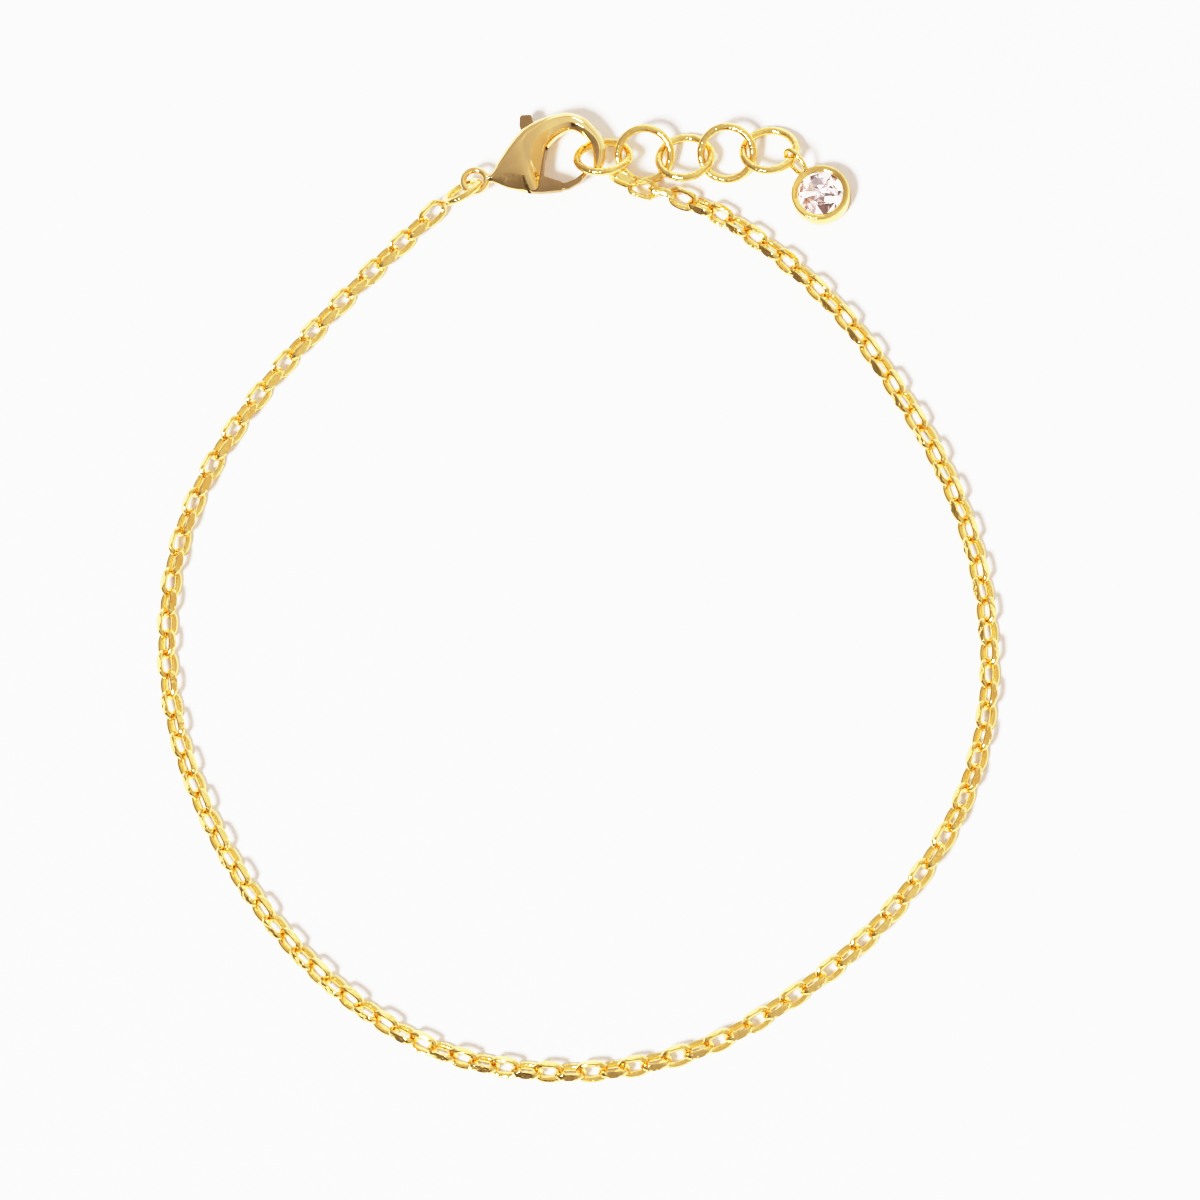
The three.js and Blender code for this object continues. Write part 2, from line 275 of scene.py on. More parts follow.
# The middle line from the extender round to the jump ring: x, y and height
ROUTE_POINTS = np.array([
    (1.75, 31.0, 1.3), (3.2, 30.45, 0.85), (4.7, 30.15, 0.72), (6.4, 29.4, 0.6),
    (8.8, 28.15, CHAIN_HEIGHT), (13.6, 24.3, CHAIN_HEIGHT), (17.7, 19.8, CHAIN_HEIGHT),
    (21.1, 14.5, CHAIN_HEIGHT), (24.0, 9.05, CHAIN_HEIGHT), (26.1, 3.2, CHAIN_HEIGHT),
    (27.1, -2.9, CHAIN_HEIGHT), (26.9, -9.2, CHAIN_HEIGHT), (25.2, -15.3, CHAIN_HEIGHT),
    (22.1, -20.65, CHAIN_HEIGHT), (18.0, -25.25, CHAIN_HEIGHT), (13.1, -29.0, CHAIN_HEIGHT),
    (7.65, -32.0, CHAIN_HEIGHT), (1.5, -33.5, CHAIN_HEIGHT), (-5.0, -33.45, CHAIN_HEIGHT),
    (-11.3, -31.8, CHAIN_HEIGHT), (-17.0, -28.35, CHAIN_HEIGHT), (-21.75, -23.85, CHAIN_HEIGHT),
    (-25.55, -18.65, CHAIN_HEIGHT), (-28.45, -12.9, CHAIN_HEIGHT), (-30.35, -6.85, CHAIN_HEIGHT),
    (-30.9, -0.55, CHAIN_HEIGHT), (-30.1, 5.65, CHAIN_HEIGHT), (-27.85, 11.3, CHAIN_HEIGHT),
    (-24.6, 16.3, CHAIN_HEIGHT), (-20.8, 20.85, CHAIN_HEIGHT), (-16.55, 25.25, CHAIN_HEIGHT),
    (-13.25, 28.4, 0.6), (-12.12, 29.4, 0.78),
])
ROUTE_STEPS = 3000
TANGENT_SHARE = 0.002


def centripetal_curve(points, steps):
    """Points along a centripetal Catmull-Rom curve through the given ones, both end points kept."""
    first = 2 * points[0] - points[1]
    last = 2 * points[-1] - points[-2]
    padded = np.vstack([first, points, last])
    out = []
    for share in np.linspace(0, len(points) - 1, steps + 1):
        span = min(int(share), len(points) - 2)
        w = share - span
        p0, p1, p2, p3 = padded[span:span + 4]
        d0, d1, d2 = (math.sqrt(np.linalg.norm(b - a)) for a, b in ((p0, p1), (p1, p2), (p2, p3)))
        start_slope = ((p1 - p0) / d0 - (p2 - p0) / (d0 + d1) + (p2 - p1) / d1) * d1
        end_slope = ((p2 - p1) / d1 - (p3 - p1) / (d1 + d2) + (p3 - p2) / d2) * d1
        quadratic = -3 * p1 + 3 * p2 - 2 * start_slope - end_slope
        cubic = 2 * p1 - 2 * p2 + start_slope + end_slope
        out.append(p1 + start_slope * w + quadratic * w ** 2 + cubic * w ** 3)
    return np.array(out)


ROUTE = centripetal_curve(ROUTE_POINTS, ROUTE_STEPS)
ROUTE_DISTANCE = np.concatenate([[0.0], np.cumsum(np.linalg.norm(np.diff(ROUTE, axis=0), axis=1))])
ROUTE_LENGTH = ROUTE_DISTANCE[-1]
LINK_PITCH = (ROUTE_LENGTH + LINK_BITE + MEETING_GAP) / (LINKS - 1)
LINK_LENGTH = LINK_PITCH - LINK_BITE + 2 * LINK_WIRE


def route_point(distance):
    """The point of the route at the distance along it, in millimetres."""
    distance = min(max(distance, 0.0), ROUTE_LENGTH)
    return Vector([float(np.interp(distance, ROUTE_DISTANCE, ROUTE[:, axis])) for axis in range(3)])


def link_matrix(k, jitter):
    """The frame of link k in the layout: X along the chain, Z along its hole's axis."""
    drawn_back = LINK_BITE + MEETING_GAP if k >= RIGHT_LINKS else 0.0
    distance = k * LINK_PITCH - drawn_back
    reach = TANGENT_SHARE * ROUTE_LENGTH
    along = (route_point(distance + reach) - route_point(distance - reach)).normalized()
    side = along.cross(Vector((0, 0, 1))).normalized()
    up = side.cross(along)
    twist = -END_TWIST * max(0.0, 1 - k / END_TWIST_LINKS)
    roll = math.radians((LINK_ROLL if k % 2 else -LINK_ROLL) + twist + jitter)
    normal = up * math.cos(roll) + side * math.sin(roll)
    across = normal.cross(along)
    matrix = Matrix((along, across, normal)).transposed().to_4x4()
    matrix.translation = route_point(distance)
    return matrix


def link_rows():
    """One link's rows of points: wire bent to an oval, its long sides planed flat by the cut."""
    half_length = (LINK_LENGTH - LINK_WIRE) / 2
    half_width = (LINK_WIDTH - LINK_WIRE) / 2 + CUT_DEPTH - SIDE_SWELL / 2
    limit = LINK_WIDTH / 2
    rows = []
    for i in range(LINK_STEPS):
        angle = 2 * math.pi * (i + 0.5) / LINK_STEPS
        x, y, out_x, out_y = oval_point(half_length, half_width, LINK_SQUARENESS, angle)
        side_share = math.sin(angle) ** 2
        in_plane = (LINK_WIRE + SIDE_SWELL * side_share) / 2
        out_of_plane = LINK_WIRE / 2 + SIDE_RISE * side_share
        row = []
        for j in range(LINK_SECTION_STEPS):
            turn = 2 * math.pi * (j + 0.5) / LINK_SECTION_STEPS
            lean = in_plane * math.cos(turn)
            planed = min(max(y + lean * out_y, -limit), limit)
            row.append((x + lean * out_x, planed, out_of_plane * math.sin(turn)))
        rows.append(row)
    return rows


def hangs_free(k):
    """Whether link k is held by neither the fittings, the end twist nor the other half."""
    in_the_run = END_TWIST_LINKS <= k < LINKS - HELD_LAST_LINKS
    return in_the_run and k not in (RIGHT_LINKS - 1, RIGHT_LINKS)


def chain_piece(name, node, first, count):
    """One half of the chain: copies of one link along the route, the free ones a little askew."""
    link = np.array(link_rows()).reshape(-1, 3)
    vertices, faces = [], []
    for k in range(first, first + count):
        jitter = random.uniform(-LINK_JITTER, LINK_JITTER) if hangs_free(k) else 0.0
        matrix = np.array(link_matrix(k, jitter))
        start = len(vertices)
        moved = link @ matrix[:3, :3].T + matrix[:3, 3]
        # the lowest corners rest on the surface and do not pass through it
        moved[:, 2] = np.maximum(moved[:, 2], 0.0)
        vertices.extend(moved * MM + np.array(SHIFT))
        faces.extend(skin_faces(LINK_STEPS, LINK_SECTION_STEPS, True, start))
    piece = mesh_object(name, vertices, faces, SHARP_LINK)
    finish_piece(piece, CHAIN_GOLD, node)


chain_piece("cable_links_right", "chain_right", 0, RIGHT_LINKS)
chain_piece("cable_links_left", "chain_left", RIGHT_LINKS, LEFT_LINKS)


# Round rings of drawn wire, each with the butt joint where it was closed

RING_STEPS = 120
RING_SECTION_STEPS = 28

# The butt joint narrows the wire by this share of its radius, and fades out over so many degrees
SEAM_DEPTH = 0.05
SEAM_DEGREES = 1.4


def ring_rows(radius, wire, seam_degrees):
    """Rows round a ring, with a fine groove where its two cut ends meet."""
    rows = []
    for i in range(RING_STEPS):
        angle = 2 * math.pi * i / RING_STEPS
        away = abs((math.degrees(angle) - seam_degrees + 180) % 360 - 180)
        pinch = SEAM_DEPTH * math.exp(-(away / SEAM_DEGREES) ** 2)
        r = wire / 2 * (1 - pinch)
        row = []
        for j in range(RING_SECTION_STEPS):
            turn = 2 * math.pi * j / RING_SECTION_STEPS
            reach = radius + r * math.cos(turn)
            row.append((reach * math.cos(angle), reach * math.sin(angle), r * math.sin(turn)))
        rows.append(row)
    return rows


def turned(heading, pitch, roll):
    """The turn of a ring, as for its solid: roll about X, then pitch about Y, then heading about Z."""
    about_x = Matrix.Rotation(math.radians(roll), 3, "X")
    about_y = Matrix.Rotation(math.radians(pitch), 3, "Y")
    about_z = Matrix.Rotation(math.radians(heading), 3, "Z")
    return about_z @ about_y @ about_x


def ring_piece(name, node, outer, wire, ring_turn):
    """A wire ring in the middle of its solid's box, turned as the solid is."""
    low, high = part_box(node)
    centre = (low + high) / 2
    turn = turned(ring_turn["heading"], ring_turn["pitch"], ring_turn["roll"])
    vertices = []
    for row in ring_rows((outer - wire) / 2, wire, ring_turn["seam"]):
        vertices.extend(turn @ Vector(point) * MM + centre for point in row)
    faces = skin_faces(RING_STEPS, RING_SECTION_STEPS, True)
    piece = mesh_object(name, vertices, faces, SHARP_RING)
    finish_piece(piece, WIRE_GOLD, node)


RING_OUTER = 4.34
RING_WIRE = 0.58
JUMP_OUTER = 3.2
JUMP_WIRE = 0.5
RING_TURNS = [
    {"heading": 0.0, "pitch": 1.3, "roll": -35.0, "seam": 100.0},
    {"heading": 5.5, "pitch": 0.4, "roll": 21.5, "seam": 262.0},
    {"heading": -3.5, "pitch": -0.9, "roll": -20.5, "seam": 80.0},
    {"heading": 0.0, "pitch": -0.7, "roll": 21.0, "seam": 285.0},
    {"heading": -5.0, "pitch": -0.2, "roll": -21.0, "seam": 98.0},
]
JUMP_TURN = {"heading": 32.5, "pitch": 1.7, "roll": -52.6, "seam": 265.0}
for i, extender_turn in enumerate(RING_TURNS, start=1):
    ring_piece(f"extender_wire_{i}", f"extender_ring_{i}", RING_OUTER, RING_WIRE, extender_turn)
ring_piece("jump_wire", "clasp_jump_ring", JUMP_OUTER, JUMP_WIRE, JUMP_TURN)


# Clasp: the claw is a smooth loft of the solid's stations, with planed edges round a broad face

CLAW_STATIONS = np.array([
    # outer x and y, inner x and y, half thickness, all from the pivot in millimetres,
    # then the widths of the outer border and the inner slope as shares of the width
    (-3.45, -1.40, -3.42, -1.78, 0.22, 0.25, 0.40),
    (-3.10, -1.25, -3.00, -1.85, 0.34, 0.25, 0.45),
    (-2.57, -0.31, -1.98, -2.33, 0.66, 0.23, 0.42),
    (-1.92, 0.73, -0.95, -2.64, 0.95, 0.22, 0.30),
    (-1.42, 1.37, -0.26, -2.82, 1.08, 0.20, 0.25),
    (-1.10, 1.73, 0.29, -2.76, 1.10, 0.19, 0.33),
    (-0.76, 2.05, 0.48, -1.85, 1.10, 0.19, 0.44),
    (-0.04, 2.47, 0.66, -0.71, 1.05, 0.22, 0.50),
    (0.90, 2.84, 0.91, 0.43, 0.95, 0.25, 0.44),
    (1.77, 3.06, 1.63, 1.31, 0.80, 0.30, 0.34),
    (2.57, 3.10, 2.57, 1.79, 0.66, 0.33, 0.33),
    (3.51, 2.74, 3.22, 1.60, 0.56, 0.36, 0.34),
    (4.31, 2.00, 3.66, 1.20, 0.48, 0.36, 0.42),
    (4.98, 0.97, 4.14, 0.56, 0.45, 0.36, 0.52),
    (5.20, 0.04, 4.28, -0.06, 0.44, 0.36, 0.52),
    (5.08, -0.79, 4.28, -0.67, 0.42, 0.36, 0.50),
    (4.83, -1.25, 4.28, -1.02, 0.36, 0.36, 0.45),
    (4.58, -1.42, 4.34, -1.24, 0.20, 0.36, 0.40),
])
CLAW_ROWS = 150

# Each end of the claw is rounded off by one more section, smaller by this share and pushed along
END_SHRINK = 0.5
TAIL_PUSH = Vector((-0.05, 0.0, 0.0))
TIP_PUSH = Vector((-0.05, -0.04, 0.0))

LEVER_THICKNESS = 0.56
LEVER_CLEARANCE = 0.09
PIN_RADIUS = 0.35
PIN_LENGTH = 1.1
PIN_STEPS = 48
EYE_RADIUS = 0.84
EYE_WIRE = 0.46
EYE_CENTRE = Vector((-4.31, -1.67, 0))
EYE_SEAM = 180.0

# Outlines seen from above, from the pivot: the claw's slot, the lever's plate and its gate
SLOT_OUTLINE = [
    (-0.42, -3.3), (-0.46, -2.4), (-0.84, -0.8), (-0.9, 0.1), (-1.02, 0.62), (-1.72, 1.35),
    (-2.75, 2.3), (0.3, 3.6), (0.22, 1.9), (0.68, 0.82), (1.4, 0.15), (1.4, -3.3),
]
PLATE_OUTLINE = [
    (-1.04, 2.95), (-1.07, 2.3), (-0.93, 1.85), (-0.66, 0.6), (-0.72, 0.0), (-0.68, -0.8),
    (-0.39, -2.3), (-0.34, -2.66), (-0.1, -2.82), (0.6, -2.86), (1.98, -2.8), (2.03, -2.74),
    (2.05, -2.2), (1.98, -2.13), (0.66, -1.62), (0.74, -0.5), (0.9, 0.3), (0.8, 0.58),
    (0.04, 1.95), (-0.18, 3.0), (-0.3, 3.1), (-0.92, 3.1),
]
FINGER_OUTLINE = [
    (1.8, -2.78), (2.5, -2.68), (3.3, -2.25), (3.75, -1.75), (3.93, -1.32), (3.98, -1.12),
    (3.84, -1.1), (3.55, -1.5), (3.0, -1.95), (2.3, -2.2), (1.8, -2.2),
]
FINGER_THICKNESS = 0.4
PLATE_BEVEL = 0.05
FINGER_BEVEL = 0.13
BEVEL_SEGMENTS = 3
BEVEL_PROFILE = 0.6

# Two corners whose heights differ by less than this, in metres, are level
SAME_HEIGHT = 1e-9


def claw_section(station):
    """The ring of points round one station: raised outer border, face, crease and inner slope."""
    outer = Vector((station[0], station[1]))
    inner = Vector((station[2], station[3]))
    half = station[4]
    width = (inner - outer).length
    across = (inner - outer) / width
    border = station[5] * width
    slope = station[6] * width
    face = width - border - slope
    # distance across from the outer side, and height as a share of the half thickness
    upper = [
        (0.0, 0.22), (0.08 * border, 0.48), (0.3 * border, 0.7), (0.65 * border, 0.87),
        (0.92 * border, 0.925), (border, 0.92), (border + 0.08 * face, 0.89),
        (border + 0.3 * face, 0.93), (border + 0.65 * face, 0.975), (border + 0.98 * face, 1.0),
        (width - 0.97 * slope, 0.985), (width - 0.5 * slope, 0.66), (width - 0.07 * slope, 0.33),
        (width - 0.02 * slope, 0.26), (width, 0.16),
    ]
    lower = [(distance, -height) for distance, height in reversed(upper)]
    points = []
    for distance, height in upper + lower:
        flat = outer + across * distance
        points.append(Vector((flat.x, flat.y, height * half)))
    return points


def end_section(section, push):
    """A section drawn in towards its middle and pushed along, to round an end off."""
    middle = sum(section, Vector()) / len(section)
    return [middle + (point - middle) * END_SHRINK + push for point in section]


def clasp_mesh(name, rows, closed, sharp):
    """A skin over rows of points given from the clasp's pivot, in millimetres."""
    vertices = [point * MM + PIVOT for row in rows for point in row]
    return mesh_object(name, vertices, skin_faces(len(rows), len(rows[0]), closed), sharp)


def prism(name, outline, thickness, bevel=0.0):
    """An upright plate of the given outline about the clasp's middle plane, with bevelled rims."""
    shape = bmesh.new()
    bottom = [shape.verts.new(Vector((x, y, -thickness / 2)) * MM + PIVOT) for x, y in outline]
    top = [shape.verts.new(Vector((x, y, thickness / 2)) * MM + PIVOT) for x, y in outline]
    shape.faces.new(bottom)
    shape.faces.new(top)
    for i in range(len(outline)):
        k = (i + 1) % len(outline)
        shape.faces.new((bottom[i], bottom[k], top[k], top[i]))
    bmesh.ops.recalc_face_normals(shape, faces=shape.faces)
    if bevel:
        rims = [edge for edge in shape.edges
                if abs(edge.verts[0].co.z - edge.verts[1].co.z) < SAME_HEIGHT]
        bmesh.ops.bevel(shape, geom=rims, offset=bevel * MM, segments=BEVEL_SEGMENTS,
                        profile=BEVEL_PROFILE, affect="EDGES", clamp_overlap=True)
    return object_of(name, shape)


def cylinder(name, radius, length):
    """An upright round bar on the clasp's hinge axis."""
    turns = [2 * math.pi * i / PIN_STEPS for i in range(PIN_STEPS)]
    rows = []
    for z in (-length / 2, length / 2):
        rows.append([Vector((radius * math.cos(turn), radius * math.sin(turn), z)) for turn in turns])
    return clasp_mesh(name, rows, False, SHARP_PIN)


def cut_away(piece, tool, sharp):
    """Takes the tool's shape out of the piece, and removes the tool."""
    step = piece.modifiers.new("cut", "BOOLEAN")
    step.operation = "DIFFERENCE"
    step.solver = "EXACT"
    step.object = tool
    bpy.context.view_layer.update()
    worked = piece.evaluated_get(bpy.context.evaluated_depsgraph_get())
    mesh = bpy.data.meshes.new_from_object(worked)
    piece.modifiers.clear()
    piece.data = mesh
    bpy.data.objects.remove(tool)
    shade(piece, sharp)


claw_curve = centripetal_curve(CLAW_STATIONS, CLAW_ROWS)
claw_rows = [claw_section(station) for station in claw_curve]
claw_rows.insert(0, end_section(claw_rows[0], TAIL_PUSH))
claw_rows.append(end_section(claw_rows[-1], TIP_PUSH))
claw = clasp_mesh("claw_body", claw_rows, False, SHARP_CLAW)
slot_cutter = prism("slot_cutter", SLOT_OUTLINE, LEVER_THICKNESS + 2 * LEVER_CLEARANCE)
cut_away(claw, slot_cutter, SHARP_CLAW)
finish_piece(claw, CLASP_GOLD, "clasp_body")

pivot_pin = cylinder("claw_pivot_pin", PIN_RADIUS, PIN_LENGTH)
finish_piece(pivot_pin, CLASP_GOLD, "clasp_body")

eye_rows = []
for point_row in ring_rows(EYE_RADIUS, EYE_WIRE, EYE_SEAM):
    eye_rows.append([Vector(point) + EYE_CENTRE for point in point_row])
tail_eye = clasp_mesh("claw_tail_eye", eye_rows, True, SHARP_RING)
finish_piece(tail_eye, CLASP_GOLD, "clasp_body")

lever = prism("clasp_lever_plate", PLATE_OUTLINE, LEVER_THICKNESS, PLATE_BEVEL)
lever_bore = cylinder("lever_bore", PIN_RADIUS + LEVER_CLEARANCE, 2 * LEVER_THICKNESS)
cut_away(lever, lever_bore, SHARP_PLATE)
finish_piece(lever, SHADED_LEVER_GOLD, "clasp_lever", "lever")

finger = prism("clasp_lever_finger", FINGER_OUTLINE, FINGER_THICKNESS, FINGER_BEVEL)
shade(finger, SHARP_FINGER)
finish_piece(finger, SHADED_LEVER_GOLD, "clasp_lever", "lever")


# Charm: a hammered bezel cup on a bail of wire, and a faceted clear stone

BEZEL_CENTRE = Vector((15.86, 29.38, 0.0))
CUP_PROFILE = np.array([
    # radius and height
    (0.0, 0.0), (1.9, 0.0), (1.98, 0.0), (2.06, 0.05), (2.1, 0.14), (2.1, 0.6), (2.1, 1.04),
    (2.08, 1.15), (2.05, 1.21), (2.01, 1.245), (1.96, 1.255), (1.9, 1.24), (1.76, 1.185),
    (1.66, 1.15), (1.625, 1.12), (1.605, 1.06), (1.61, 1.02),
    (1.74, 0.98), (1.84, 0.92), (1.84, 0.76), (1.66, 0.56), (1.45, 0.36), (0.0, 0.36),
])
CUP_STEPS = 144

# The hammer leaves so many flats round the rim, each so deep. The spread is the width, as a share of
# a flat, within which each flat's place is drawn
HAMMER_FLATS = 26
HAMMER_DEPTH = 0.022
HAMMER_SPREAD = 0.3
HAMMERED_FROM_HEIGHT = 1.0
HAMMERED_FROM_RADIUS = 1.65

# Corners nearer than this, in metres, are the same corner
SAME_PLACE = 1e-7

hammer = [random.uniform(-0.5, 0.5) for _ in range(HAMMER_FLATS)]


def hammered(radius, height, angle):
    """The rim's outer side is pressed down in small flats; the seat inside stays round."""
    if height < HAMMERED_FROM_HEIGHT or radius < HAMMERED_FROM_RADIUS:
        return radius
    turn = angle / (2 * math.pi) * HAMMER_FLATS
    place_on_flat = abs((turn + hammer[int(turn) % HAMMER_FLATS] * HAMMER_SPREAD) % 1.0 - 0.5)
    return radius - HAMMER_DEPTH * (0.5 - place_on_flat) * 2


def cup_piece():
    """The bezel cup: its profile turned about the charm's axis, with the hammer's flats."""
    vertices, faces = [], []
    for i in range(CUP_STEPS):
        angle = 2 * math.pi * i / CUP_STEPS
        for radius, height in CUP_PROFILE:
            reach = hammered(radius, height, angle)
            vertices.append(place(BEZEL_CENTRE.x + reach * math.cos(angle),
                                  BEZEL_CENTRE.y + reach * math.sin(angle),
                                  BEZEL_CENTRE.z + height))
    width = len(CUP_PROFILE)
    for i in range(CUP_STEPS):
        here = i * width
        there = ((i + 1) % CUP_STEPS) * width
        for j in range(width - 1):
            faces.append((here + j, there + j, there + j + 1, here + j + 1))
    piece = mesh_object("bezel_cup", vertices, faces, SHARP_CUP)
    weld = bmesh.new()
    weld.from_mesh(piece.data)
    bmesh.ops.remove_doubles(weld, verts=weld.verts, dist=SAME_PLACE)
    bmesh.ops.recalc_face_normals(weld, faces=weld.faces)
    weld.to_mesh(piece.data)
    weld.free()
    shade(piece, SHARP_CUP)
    return piece


cup = cup_piece()
finish_piece(cup, BEZEL_GOLD, "charm_setting")

BAIL_PLACE = Vector((14.13, 31.8, 1.15))
BAIL_HEADING = -52.0
BAIL_PITCH = 10.5
BAIL_ROLL = 57.0
BAIL_LENGTH = 2.37
BAIL_WIDTH = 1.53
BAIL_WIRE = 0.36
BAIL_SQUARENESS = 2.2
BAIL_STEPS = 96
BAIL_SECTION_STEPS = 20


def bail_piece():
    """The bail: a closed oval of round wire that leans against the cup's side."""
    turn = turned(BAIL_HEADING, BAIL_PITCH, BAIL_ROLL)
    half_length = (BAIL_LENGTH - BAIL_WIRE) / 2
    half_width = (BAIL_WIDTH - BAIL_WIRE) / 2
    vertices = []
    for i in range(BAIL_STEPS):
        angle = 2 * math.pi * (i + 0.5) / BAIL_STEPS
        x, y, out_x, out_y = oval_point(half_length, half_width, BAIL_SQUARENESS, angle)
        for j in range(BAIL_SECTION_STEPS):
            round_wire = 2 * math.pi * j / BAIL_SECTION_STEPS
            lean = BAIL_WIRE / 2 * math.cos(round_wire)
            rise = BAIL_WIRE / 2 * math.sin(round_wire)
            point = Vector((x + lean * out_x, y + lean * out_y, rise))
            vertices.append(place(*(turn @ point + BAIL_PLACE)))
    faces = skin_faces(BAIL_STEPS, BAIL_SECTION_STEPS, True)
    return mesh_object("bezel_bail", vertices, faces, SHARP_RING)


bail = bail_piece()
finish_piece(bail, WIRE_GOLD, "charm_setting")


# The stone is the hull of rings of corners, from the table down to the culet. Offsets are shares of
# the step between two corners, and an uneven ring's corners are off their height by up to that much

GIRDLE_RADIUS = 1.76
GIRDLE_BOTTOM = 0.86
STONE_RINGS = [
    {"radius": 1.02, "height": 1.32, "corners": 8, "offset": 0.0, "uneven": 0.0},
    {"radius": 1.36, "height": 1.165, "corners": 8, "offset": 0.5, "uneven": 0.0},
    {"radius": GIRDLE_RADIUS, "height": 0.9, "corners": 16, "offset": 0.0, "uneven": 0.0},
    {"radius": GIRDLE_RADIUS, "height": GIRDLE_BOTTOM, "corners": 16, "offset": 0.0, "uneven": 0.0},
    {"radius": 1.45, "height": 0.745, "corners": 32, "offset": 0.5, "uneven": 0.02},
    {"radius": 1.08, "height": 0.62, "corners": 16, "offset": 0.5, "uneven": 0.04},
    {"radius": 0.68, "height": 0.53, "corners": 16, "offset": 0.0, "uneven": 0.025},
    {"radius": 0.36, "height": 0.48, "corners": 8, "offset": 0.25, "uneven": 0.015},
    {"radius": 0.08, "height": 0.46, "corners": 8, "offset": 0.0, "uneven": 0.0},
]

# Facets whose middle is so far below the girdle are the pavilion's, and faces that meet at less than
# the angle are one facet
BELOW_GIRDLE = 0.02
SAME_FACET_DEGREES = 0.5


def stone_piece():
    """The hull of the rings of corners, so that each facet comes out flat, with its two materials."""
    shape = bmesh.new()
    for ring in STONE_RINGS:
        for i in range(ring["corners"]):
            angle = 2 * math.pi * (i + ring["offset"]) / ring["corners"]
            drop = random.uniform(-ring["uneven"], ring["uneven"])
            shape.verts.new(place(BEZEL_CENTRE.x + ring["radius"] * math.cos(angle),
                                  BEZEL_CENTRE.y + ring["radius"] * math.sin(angle),
                                  ring["height"] + drop))
    bmesh.ops.convex_hull(shape, input=shape.verts)
    bmesh.ops.dissolve_limit(shape, angle_limit=math.radians(SAME_FACET_DEGREES),
                             verts=shape.verts, edges=shape.edges)
    bmesh.ops.recalc_face_normals(shape, faces=shape.faces)
    pavilion_top = place(0, 0, GIRDLE_BOTTOM - BELOW_GIRDLE).z
    for face in shape.faces:
        is_pavilion = face.calc_center_median().z < pavilion_top and face.normal.z < 0
        face.material_index = 1 if is_pavilion else 0
    return object_of("brilliant_stone", shape)


def clear_stone_material():
    """Clear stone with the faintest haze on its polish."""
    material, tree, shader = new_material("clear_stone")
    set_inputs(shader, {
        "Transmission Weight": 1.0, "IOR": 1.9, "Base Color": (0.97, 0.95, 0.98, 1.0)})
    coords = add_node(tree, "ShaderNodeTexCoord")
    haze = add_node(tree, "ShaderNodeTexNoise", {"Scale": 600.0})
    haze_range = add_node(tree, "ShaderNodeMapRange", {
        "From Min": 0.45, "From Max": 0.75, "To Min": 0.0, "To Max": 0.03})
    link_nodes(tree, coords, "Object", haze, "Vector")
    link_nodes(tree, haze, "Fac", haze_range, "Value")
    link_nodes(tree, haze_range, "Result", shader, "Roughness")
    return material


# Each facet has a random share. Below the first share it is painted brown, a painted dark reflection;
# from the second it glows, a painted glint, and from the third in full
PAINTED_BROWN_BELOW = 0.22
PAINTED_GLINT_FROM = 0.6
PAINTED_GLINT_FULL = 0.9
PAINTED_BROWN_REFLECTION = (0.44, 0.27, 0.20)
PALE = (0.90, 0.77, 0.73)
PAINTED_GLINT_STRENGTH = 1.8


def silvered_painted_glint_material():
    """The pavilion is silvered, as on a set rhinestone, so that it does not show the cup. Its facets
    glow white as painted glints, and some are painted brown as painted dark reflections.
    """
    material, tree, shader = new_material("clear_stone_silvered_painted_glints")
    set_inputs(shader, {
        "Metallic": 1.0, "Roughness": 0.04, "Emission Color": (1.0, 0.975, 0.975, 1.0)})
    # each facet has a direction of its own, and so a share of its own
    facet = add_node(tree, "ShaderNodeNewGeometry")
    facet_share = add_node(tree, "ShaderNodeTexWhiteNoise")
    # painted glint: facets with a high share glow white, though the stone is no lamp
    painted_glint = add_node(tree, "ShaderNodeMapRange", {
        "From Min": PAINTED_GLINT_FROM, "From Max": PAINTED_GLINT_FULL, "To Min": 0.0, "To Max": PAINTED_GLINT_STRENGTH})
    # painted reflection: facets with a low share are tinted brown as if reflecting dark surroundings
    tint = add_ramp(tree, [{"at": 0.0, "colour": PAINTED_BROWN_REFLECTION}, {"at": PAINTED_BROWN_BELOW, "colour": PALE}])
    tint.color_ramp.interpolation = "CONSTANT"
    link_nodes(tree, facet, "True Normal", facet_share, "Vector")
    link_nodes(tree, facet_share, "Value", tint, "Fac")
    link_nodes(tree, tint, "Color", shader, "Base Color")
    link_nodes(tree, facet_share, "Value", painted_glint, "Value")
    link_nodes(tree, painted_glint, "Result", shader, "Emission Strength")
    return material


stone = stone_piece()
finish_piece(stone, clear_stone_material(), "charm_stone")
stone.data.materials.append(silvered_painted_glint_material())


# Surface, light and camera

def plain_sheet(name, size, location, colour, roughness):
    """A square level sheet of one matt colour, and its shader."""
    bpy.ops.mesh.primitive_plane_add(size=size, location=location)
    sheet = bpy.context.object
    sheet.name = name
    paint, _, shader = new_material(name)
    set_inputs(shader, {"Base Color": (*colour, 1.0), "Roughness": roughness})
    sheet.data.materials.append(paint)
    return sheet, shader


floor, floor_shader = plain_sheet("pale_surface", 8.0, (0, 0, 0), (0.93, 0.925, 0.92), 0.9)
set_inputs(floor_shader, {"Specular IOR Level": 0.1})


def reflection_card(name, size, location, colour):
    """A card out of the picture that faces the bracelet, for the metal to reflect."""
    card, _ = plain_sheet(name, size, location, colour, 1.0)
    card.rotation_euler = Vector(location).to_track_quat("Z", "Y").to_euler()


# A dark card beside the soft box and a tan one on the right give the metal its brown reflections
reflection_card("dark_card", 0.22, (-0.17, -0.37, 0.2), (0.045, 0.03, 0.021))
reflection_card("tan_card", 0.5, (0.42, 0.02, 0.24), (0.42, 0.33, 0.24))


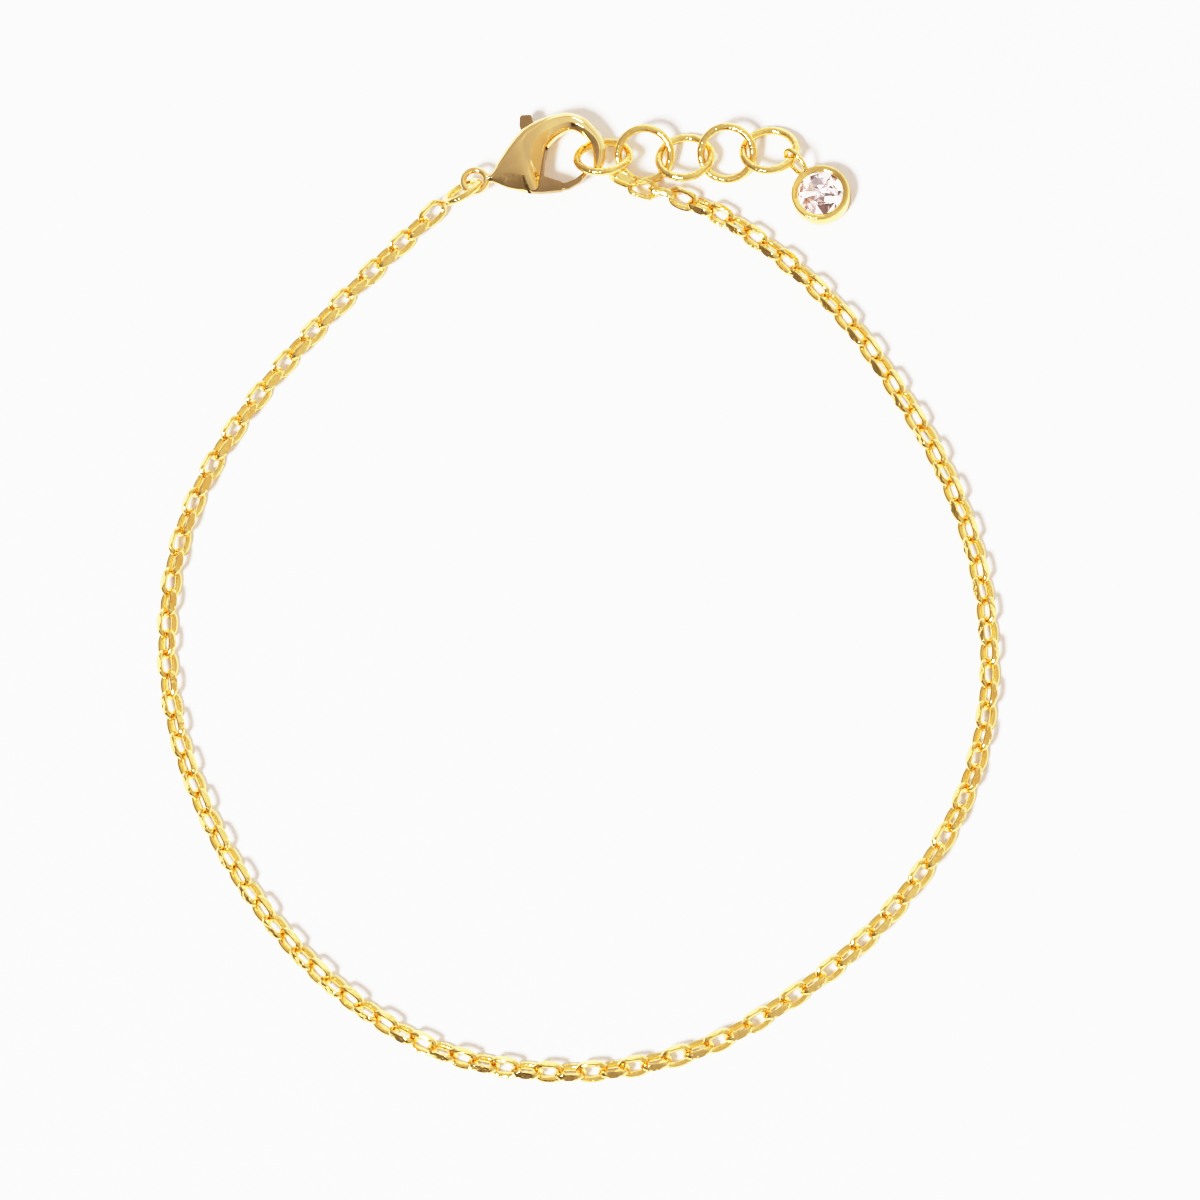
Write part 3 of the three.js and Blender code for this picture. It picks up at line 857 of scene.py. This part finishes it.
def area_light(name, location, size, power, colour):
    """A square lamp that shines at the middle of the bracelet."""
    lamp = bpy.data.lights.new(name, "AREA")
    lamp.size = size
    lamp.energy = power
    lamp.color = colour
    holder = add_to_scene(name, lamp)
    holder.location = location
    holder.rotation_euler = (-Vector(location)).to_track_quat("-Z", "Y").to_euler()


area_light("key_softbox", (-0.49, -0.61, 0.91), size=0.3, power=33.0, colour=(0.95, 0.99, 1.0))
area_light("back_strip", (0.05, 0.62, 0.16), size=0.3, power=0.35, colour=(1.0, 0.99, 0.98))

# The room is bright to the right, behind and overhead, and dark low down to the left
ROOM_SIDE = (0.38, 0.22, 0.12)
ROOM_MIDDLE = 0.55
ROOM_RAMP = [
    {"at": 0.12, "colour": (0.2, 0.15, 0.12)},
    {"at": 0.28, "colour": (0.32, 0.27, 0.25)},
    {"at": 0.42, "colour": (0.5, 0.45, 0.45)},
    {"at": 0.6, "colour": (0.66, 0.61, 0.615)},
    {"at": 0.72, "colour": (0.78, 0.73, 0.735)},
    {"at": 0.95, "colour": (1.25, 1.2, 1.2)},
]
world = bpy.data.worlds.new("studio")
bpy.context.scene.world = world
world.use_nodes = True
room = world.node_tree
sky = room.nodes["Background"]
room_coords = add_node(room, "ShaderNodeTexCoord")
room_side = add_node(room, "ShaderNodeVectorMath")
room_side.operation = "DOT_PRODUCT"
room_side.inputs[1].default_value = ROOM_SIDE
room_shift = add_node(room, "ShaderNodeMath")
room_shift.operation = "ADD"
room_shift.inputs[1].default_value = ROOM_MIDDLE
room_ramp = add_ramp(room, ROOM_RAMP)
link_nodes(room, room_coords, "Generated", room_side, "Vector")
link_nodes(room, room_side, "Value", room_shift, "Value")
link_nodes(room, room_shift, "Value", room_ramp, "Fac")
link_nodes(room, room_ramp, "Color", sky, "Color")
set_inputs(sky, {"Strength": 1.0})

# The photo is a little overexposed: its white surface and highlights roll off just under full white
EXPOSURE_CURVE = [
    {"light": 0.0, "shown": 0.0}, {"light": 0.25, "shown": 0.25}, {"light": 0.5, "shown": 0.5},
    {"light": 0.75, "shown": 0.7}, {"light": 1.0, "shown": 0.82}, {"light": 1.3, "shown": 0.9},
    {"light": 1.6, "shown": 0.935}, {"light": 2.0, "shown": 0.96}, {"light": 2.5, "shown": 0.97},
    {"light": 3.5, "shown": 0.98},
]
CURVE_END = EXPOSURE_CURVE[-1]["light"]
view = bpy.context.scene.view_settings
view.view_transform = "Standard"
view.use_curve_mapping = True
roll_off = view.curve_mapping
roll_off.white_level = (CURVE_END, CURVE_END, CURVE_END)
# the fourth curve is the one for all three colours together
shown_curve = roll_off.curves[3]
while len(shown_curve.points) < len(EXPOSURE_CURVE):
    shown_curve.points.new(0.5, 0.5)
for point, row in zip(shown_curve.points, EXPOSURE_CURVE):
    point.location = (row["light"] / CURVE_END, row["shown"])
roll_off.update()

# The photo was taken from a long way off, a little from the right and from below the bracelet.
# The view's distance and the frame's width are in metres, and the sensor and the aim in millimetres
VIEW_FROM = Vector((0.1332, -0.2898, 0.9478)).normalized()
VIEW_UP = Vector((0.0403, 0.9571, 0.2869))
VIEW_DISTANCE = 0.42
FRAME_WIDTH = 0.084
SENSOR = 36.0
AIM_HEIGHT = 0.6
aim_point = place(0.0, 0.0, AIM_HEIGHT)
camera_data = bpy.data.cameras.new("camera")
camera_data.sensor_width = SENSOR
camera_data.lens = SENSOR * VIEW_DISTANCE / FRAME_WIDTH
right = VIEW_UP.cross(VIEW_FROM).normalized()
up = VIEW_FROM.cross(right).normalized()
camera_turn = Matrix((right, up, VIEW_FROM)).transposed().to_4x4()
camera = add_to_scene("camera", camera_data)
camera.matrix_world = Matrix.Translation(aim_point + VIEW_FROM * VIEW_DISTANCE) @ camera_turn
bpy.context.scene.camera = camera
